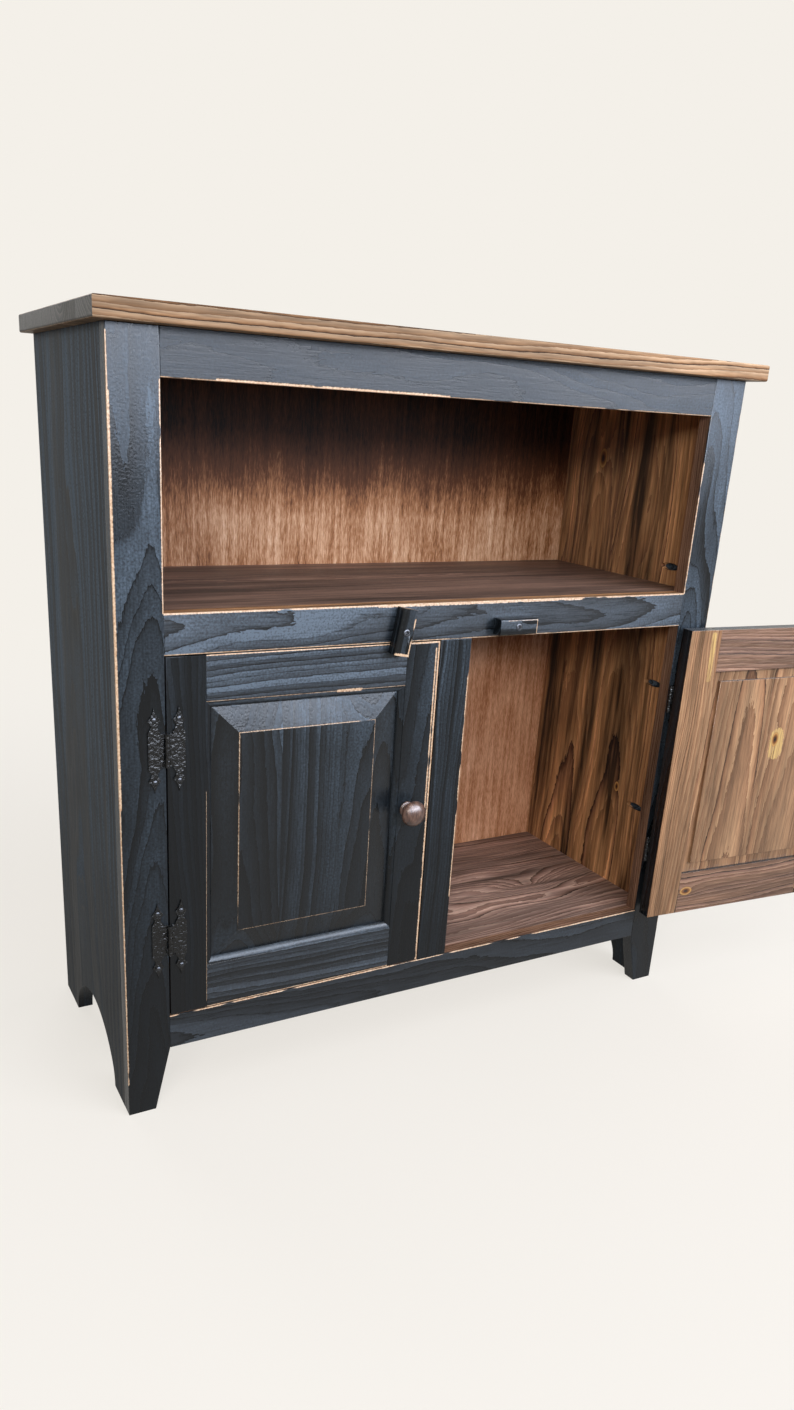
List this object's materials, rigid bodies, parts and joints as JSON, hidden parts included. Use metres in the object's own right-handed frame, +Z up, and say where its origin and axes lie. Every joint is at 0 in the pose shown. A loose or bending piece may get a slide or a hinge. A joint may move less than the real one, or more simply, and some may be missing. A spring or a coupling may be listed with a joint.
{
  "type": "storage cupboard",
  "caption": "Low pine cupboard: an open cubby over two panelled doors on surface H hinges, held shut by wooden turn buttons, on tapered front feet and arched sides.",
  "frame": {"origin": "outer front corner of the left foot, on the floor", "axes": "+X right along the front, +Y back into the cupboard, +Z up"},
  "size_m": [1.0894, 0.3701, 0.866],
  "materials": {
    "black_paint": "satin black paint on pine, rubbed through to bare wood at the edges",
    "stained_top": "red-brown stained pine under a satin clear coat",
    "stained_shelf": "dark walnut stained pine",
    "stained_plywood": "walnut stained plywood",
    "black_iron": "hammered black iron",
    "knob_wood": "turned and stained, satin",
    "zinc_screw": "zinc plated",
    "bright_brad": "bright wire"
  },
  "bodies": {
    "carcass": {"back_panel": "stained_plywood", "back_panel_brads": "bright_brad", "bottom_rail": "black_paint", "centre_stile": "black_paint", "left_lower_hinge_frame_leaf": "black_iron", "left_lower_hinge_frame_nails": "black_iron", "left_lower_hinge_pin": "black_iron", "left_stile": "black_paint", "left_turn_button_screw": "zinc_screw", "left_upper_hinge_frame_leaf": "black_iron", "left_upper_hinge_frame_nails": "black_iron", "left_upper_hinge_pin": "black_iron", "mid_rail": "black_paint", "pocket_screws_left": "zinc_screw", "pocket_screws_right": "zinc_screw", "right_lower_hinge_frame_leaf": "black_iron", "right_lower_hinge_frame_nails": "black_iron", "right_lower_hinge_pin": "black_iron", "right_stile": "black_paint", "right_turn_button_screw": "zinc_screw", "right_upper_hinge_frame_leaf": "black_iron", "right_upper_hinge_frame_nails": "black_iron", "right_upper_hinge_pin": "black_iron", "shelf_bottom": "stained_shelf", "shelf_middle": "stained_shelf", "side_panel_left": "black_paint", "side_panel_right": "black_paint", "top_board": "stained_top", "top_brads": "bright_brad", "top_rail": "black_paint"},
    "left_door": {"left_door_bottom_rail": "black_paint", "left_door_free_stile": "black_paint", "left_door_hinge_stile": "black_paint", "left_door_panel": "black_paint", "left_door_top_rail": "black_paint", "left_knob": "knob_wood", "left_knob_screw": "zinc_screw", "left_lower_hinge_door_leaf": "black_iron", "left_lower_hinge_door_nails": "black_iron", "left_upper_hinge_door_leaf": "black_iron", "left_upper_hinge_door_nails": "black_iron"},
    "right_door": {"right_door_bottom_rail": "black_paint", "right_door_free_stile": "black_paint", "right_door_hinge_stile": "black_paint", "right_door_panel": "black_paint", "right_door_top_rail": "black_paint", "right_knob": "knob_wood", "right_knob_screw": "zinc_screw", "right_lower_hinge_door_leaf": "black_iron", "right_lower_hinge_door_nails": "black_iron", "right_upper_hinge_door_leaf": "black_iron", "right_upper_hinge_door_nails": "black_iron"},
    "left_turn_button": {"left_turn_button": "black_paint"},
    "right_turn_button": {"right_turn_button": "black_paint"}
  },
  "joints": [
    {"name": "left_door_hinge", "type": "hinge", "parent": "carcass", "child": "left_door", "pos_m": [0.05075, -0.0043, 0.331], "axis": [0, 0, -1], "range_deg": [0, 180]},
    {"name": "right_door_hinge", "type": "hinge", "parent": "carcass", "child": "right_door", "pos_m": [0.74925, -0.0043, 0.331], "axis": [0, 0, 1], "range_deg": [-175, 5]},
    {"name": "left_button_pivot", "type": "hinge", "parent": "carcass", "child": "left_turn_button", "pos_m": [0.323, 0, 0.5545], "axis": [0, -1, 0], "continuous": true},
    {"name": "right_button_pivot", "type": "hinge", "parent": "carcass", "child": "right_turn_button", "pos_m": [0.477, 0, 0.5545], "axis": [0, -1, 0], "continuous": true}
  ]
}
